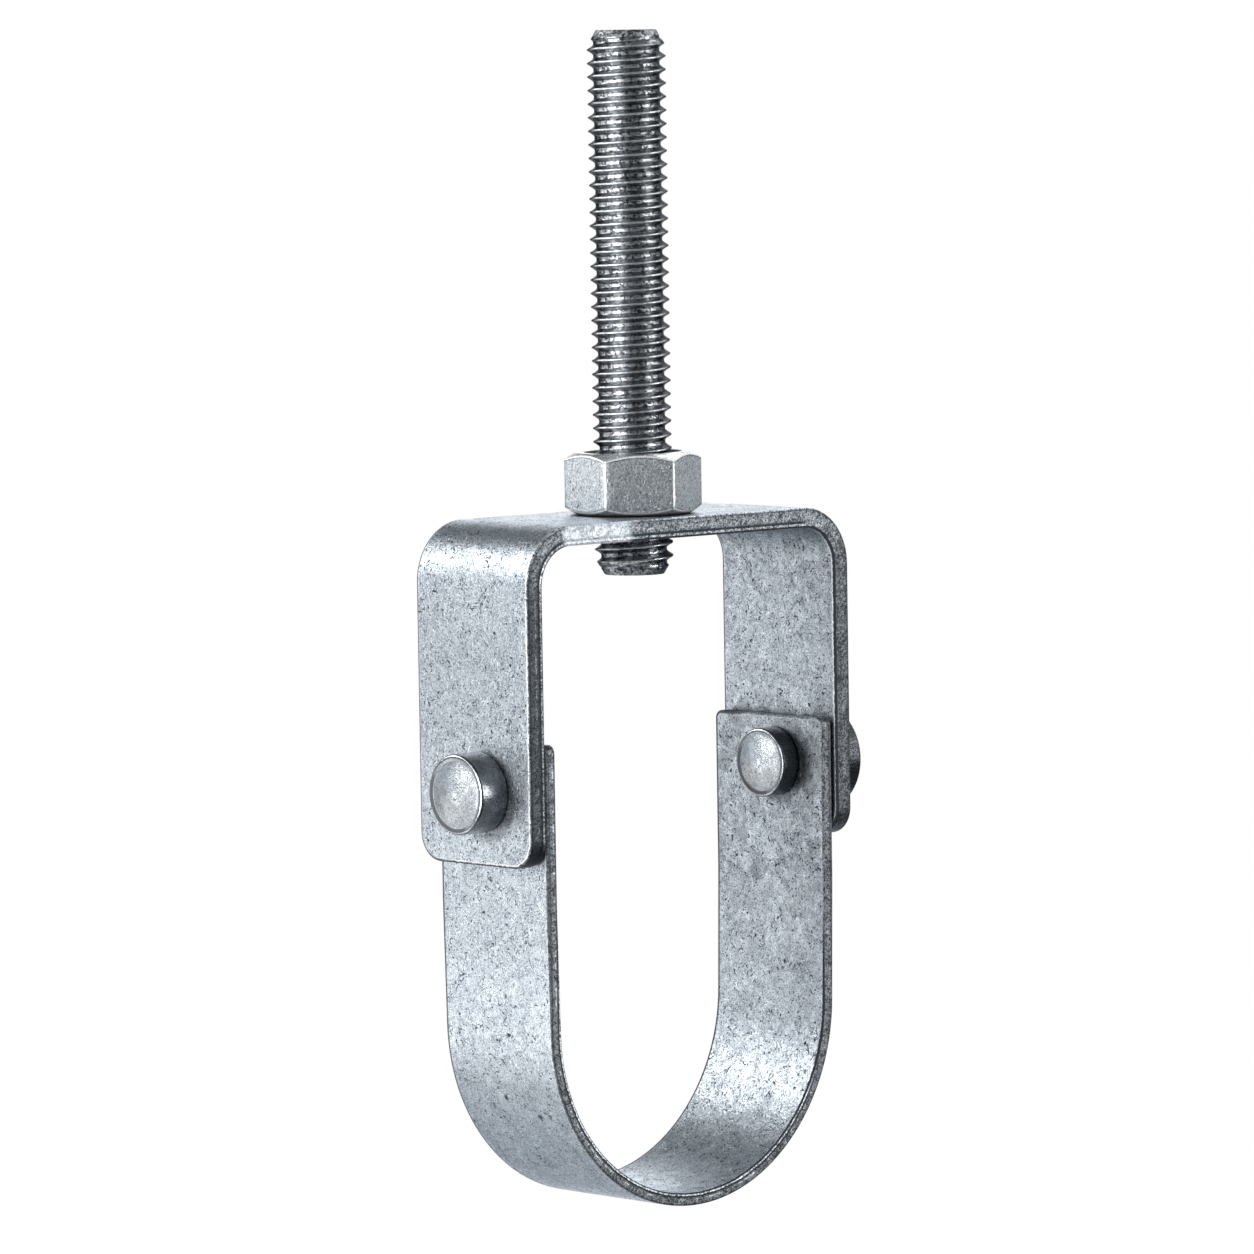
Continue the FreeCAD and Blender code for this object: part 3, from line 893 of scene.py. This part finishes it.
yoke_zinc = sheared_bar_material(
    "yoke_galvanised_bar",
    clouds=0.38,
    outlines=0.7,
    rim=(9.7, 3.3, 19.2, 1.0),
    bend=(25.74, 7.0, 58.7, -1.0),
    thickness=2.4,
    edge_levels=(0.19, 0.82),
    burr=0.90,
    wear=0.42,
    shadow_and_stain_spots=(
        # Painted shadow round the nut
        ((0.0, 0.0, 0.0587), (1000.0, 1000.0, 9000.0), 7.05, 7.55, 0.95),
        # Painted shadow round the rivet's head
        ((-0.02575, -0.0019, 0.0273), (9000.0, 1000.0, 1000.0), 4.7, 5.9, 0.55),
        # Painted shadow under the end of the left leg
        ((-0.0238, -0.0080, 0.0198), (1600.0, 1000.0, 1000.0), 1.8, 2.9, 0.85),
    ),
)
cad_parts["yoke"].material_slots[0].material = yoke_zinc


# Rivets. Two short cold-headed steel rivets on one axis, plated, each with a
# headed end outside the yoke and an upset tail inside the strap. Handling has left
# them smoother than the bars; painted shade lies in lines at each rolled rim, with a
# painted highlight on the rim and the crown.

rivet_axis = (0.0, -0.0012, 0.0278)
rivet_tail_radius = 4.15
rivet_shift = (0.013, 0.007, 0.0)
rivet_head_from = (0.0230, 0.0235)
# Middle of the painted highlight on the crown
rivet_highlight_middle = (0.0, -0.0019, 0.0292)
# Side of the rim that gets painted shade
rivet_shaded_side = (0.0, 0.75, -0.66)
yoke_outer_face = 0.02574

# Distances from the rivets' axis, from metres to millimetres
across_rivet = (0.0, 1000.0, 1000.0)

# Each rivet's head radius in millimetres, and how dark the painted shade on the head's wall is
rivet_heads = {
    "rivet_left": (4.7, 0.62),
    "rivet_right": (6.2, 1.0),
}

rivet_zinc = {
    "Pale": (0.64, 0.675, 0.705, 1.0),
    "Dull": (0.27, 0.295, 0.32, 1.0),
    "Fleck": (0.10, 0.105, 0.115, 1.0),
    "Clouds": 0.62,
    "Outlines": 0.30,
    "Flecks": 0.45,
    "Pits": 0.30,
    "Gloss": 0.165,
}
rivet_plain = (0.82, 0.82, 0.82, 1.0)
# Painted highlight on the crown and on the rim
rivet_crown_highlight = (1.60, 1.60, 1.60, 1.0)
rivet_rim_highlight = (0.90, 0.91, 0.93, 1.0)
# Painted shade and painted shadow
rivet_painted_shade = (0.05, 0.053, 0.06, 1.0)


def rivet_material(name, head_radius, wall_shade):
    """Smooth plated steel, with painted shade lines inside and outside the painted highlight
    on the rim of head and tail.

    The inset is the distance in from the rim of head or tail, in millimetres. The crown
    has a painted highlight about its middle; painted shade lies on one side of the rim and
    on the head's wall, and painted shadow where the head meets the yoke.
    """
    made, finish = new_finish(name, rivet_shift)
    zinc, gloss, grain = zinc_skin_on(finish, rivet_zinc)
    from_axis = finish.vector("SUBTRACT", finish.place, rivet_axis)
    from_axis = finish.vector("MULTIPLY", from_axis, across_rivet)
    radius = finish.vector("LENGTH", from_axis, result="Value")
    span = finish.maths("ABSOLUTE", finish.coordinate("X"))
    on_head = finish.ramp(span, *rivet_head_from, 0.0, 1.0)
    rim = finish.maths("MULTIPLY_ADD", on_head, head_radius - rivet_tail_radius, rivet_tail_radius)
    inset = finish.maths("SUBTRACT", rim, radius)

    # Painted shade lines inside the rim's highlight and along its edge, and painted shadow where the
    # head meets the yoke
    groove = finish.largest(finish.band(inset, 0.25, 0.31, 0.38, 0.48),
                            finish.band(inset, 0.00, 0.02, 0.09, 0.13))
    foot_shadow = finish.product(finish.near(span, yoke_outer_face, 0.0002, 0.00055), on_head)
    shade_lines = finish.product(finish.largest(groove, foot_shadow), 0.88)
    # Painted shade on one side of the rim and on the head's wall
    toward_shade = finish.vector("DOT_PRODUCT", from_axis, rivet_shaded_side, "Value")
    rim_side_shade = finish.product(finish.band(inset, 0.28, 0.38, 0.68, 0.82),
                              finish.ramp(toward_shade, -1.0, 1.6, 0.0, 0.94))
    wall = finish.product(finish.ramp(inset, 0.00, 0.06, 1.0, 0.0), wall_shade)
    dark = finish.largest(shade_lines, rim_side_shade, wall)

    # Painted highlight about the middle of the crown and on the rim
    uneven = finish.noise(900.0, 4.0, 0.65, at=finish.place)
    middle = finish.spot(rivet_highlight_middle, across_rivet, 0.2, 3.6)
    crown_highlight = finish.ramp(finish.maths("MULTIPLY_ADD", uneven, 1.1, middle), 0.75, 1.30, 0.0, 1.0)
    on_face = finish.ramp(inset, 0.70, 0.84, 0.0, 1.0)
    tone = finish.blend(finish.product(on_face, crown_highlight), rivet_plain, rivet_crown_highlight)
    faced = finish.blend(on_face, zinc, finish.vector("MULTIPLY", zinc, tone))
    rim_highlight = finish.product(finish.band(inset, 0.10, 0.14, 0.20, 0.25), 0.30)
    colour = finish.blend(dark, finish.blend(rim_highlight, faced, rivet_rim_highlight), rivet_painted_shade)
    finish.metal(colour, gloss, grain, bump_strength=0.30, bump_distance=0.00008, others={
        "Metallic": finish.inverse(rim_side_shade), "Specular IOR Level": 0.0})
    return made


for rivet, (head_radius, wall_shade) in rivet_heads.items():
    plated_rivet = rivet_material(rivet + "_plated_steel", head_radius, wall_shade)
    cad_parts[rivet].material_slots[0].material = plated_rivet


# Lower strap. Thinner flat bar bent to a cradle for the pipe, galvanised like
# the yoke, hung inside the yoke's legs on the two rivets.

strap_zinc = sheared_bar_material(
    "strap_galvanised_bar",
    clouds=0.45,
    outlines=0.8,
    rim=(9.25, 1.0, 33.4, -1.0),
    bend=(22.65, 22.65, -22.65, 1.0),
    thickness=1.5,
    edge_levels=(0.66, 0.66),
    burr=0.15,
    wear=0.0,
    shadow_and_stain_spots=(
        # Painted shadow round the right rivet's tail
        ((0.0212, -0.0017, 0.0274), in_space, 4.2, 5.0, 0.6),
        # Real stains on the strap's outer face
        ((-0.02257, -0.0014, 0.0037), (1000.0, 1300.0, 1000.0), 0.15, 0.46, 0.95),
        ((-0.02263, -0.0017, -0.0009), (1000.0, 1000.0, 1300.0), 0.15, 0.46, 0.95),
        ((-0.02094, 0.0008, -0.0086), in_space, 0.20, 0.50, 0.95),
        ((-0.02007, -0.0041, -0.0105), (1000.0, 700.0, 1400.0), 0.18, 0.52, 0.90),
        ((-0.02251, -0.0045, 0.0065), (1000.0, 1400.0, 700.0), 0.15, 0.50, 0.80),
    ),
    shift=(0.031, 0.017, 0.008),
)
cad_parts["lower_strap"].material_slots[0].material = strap_zinc
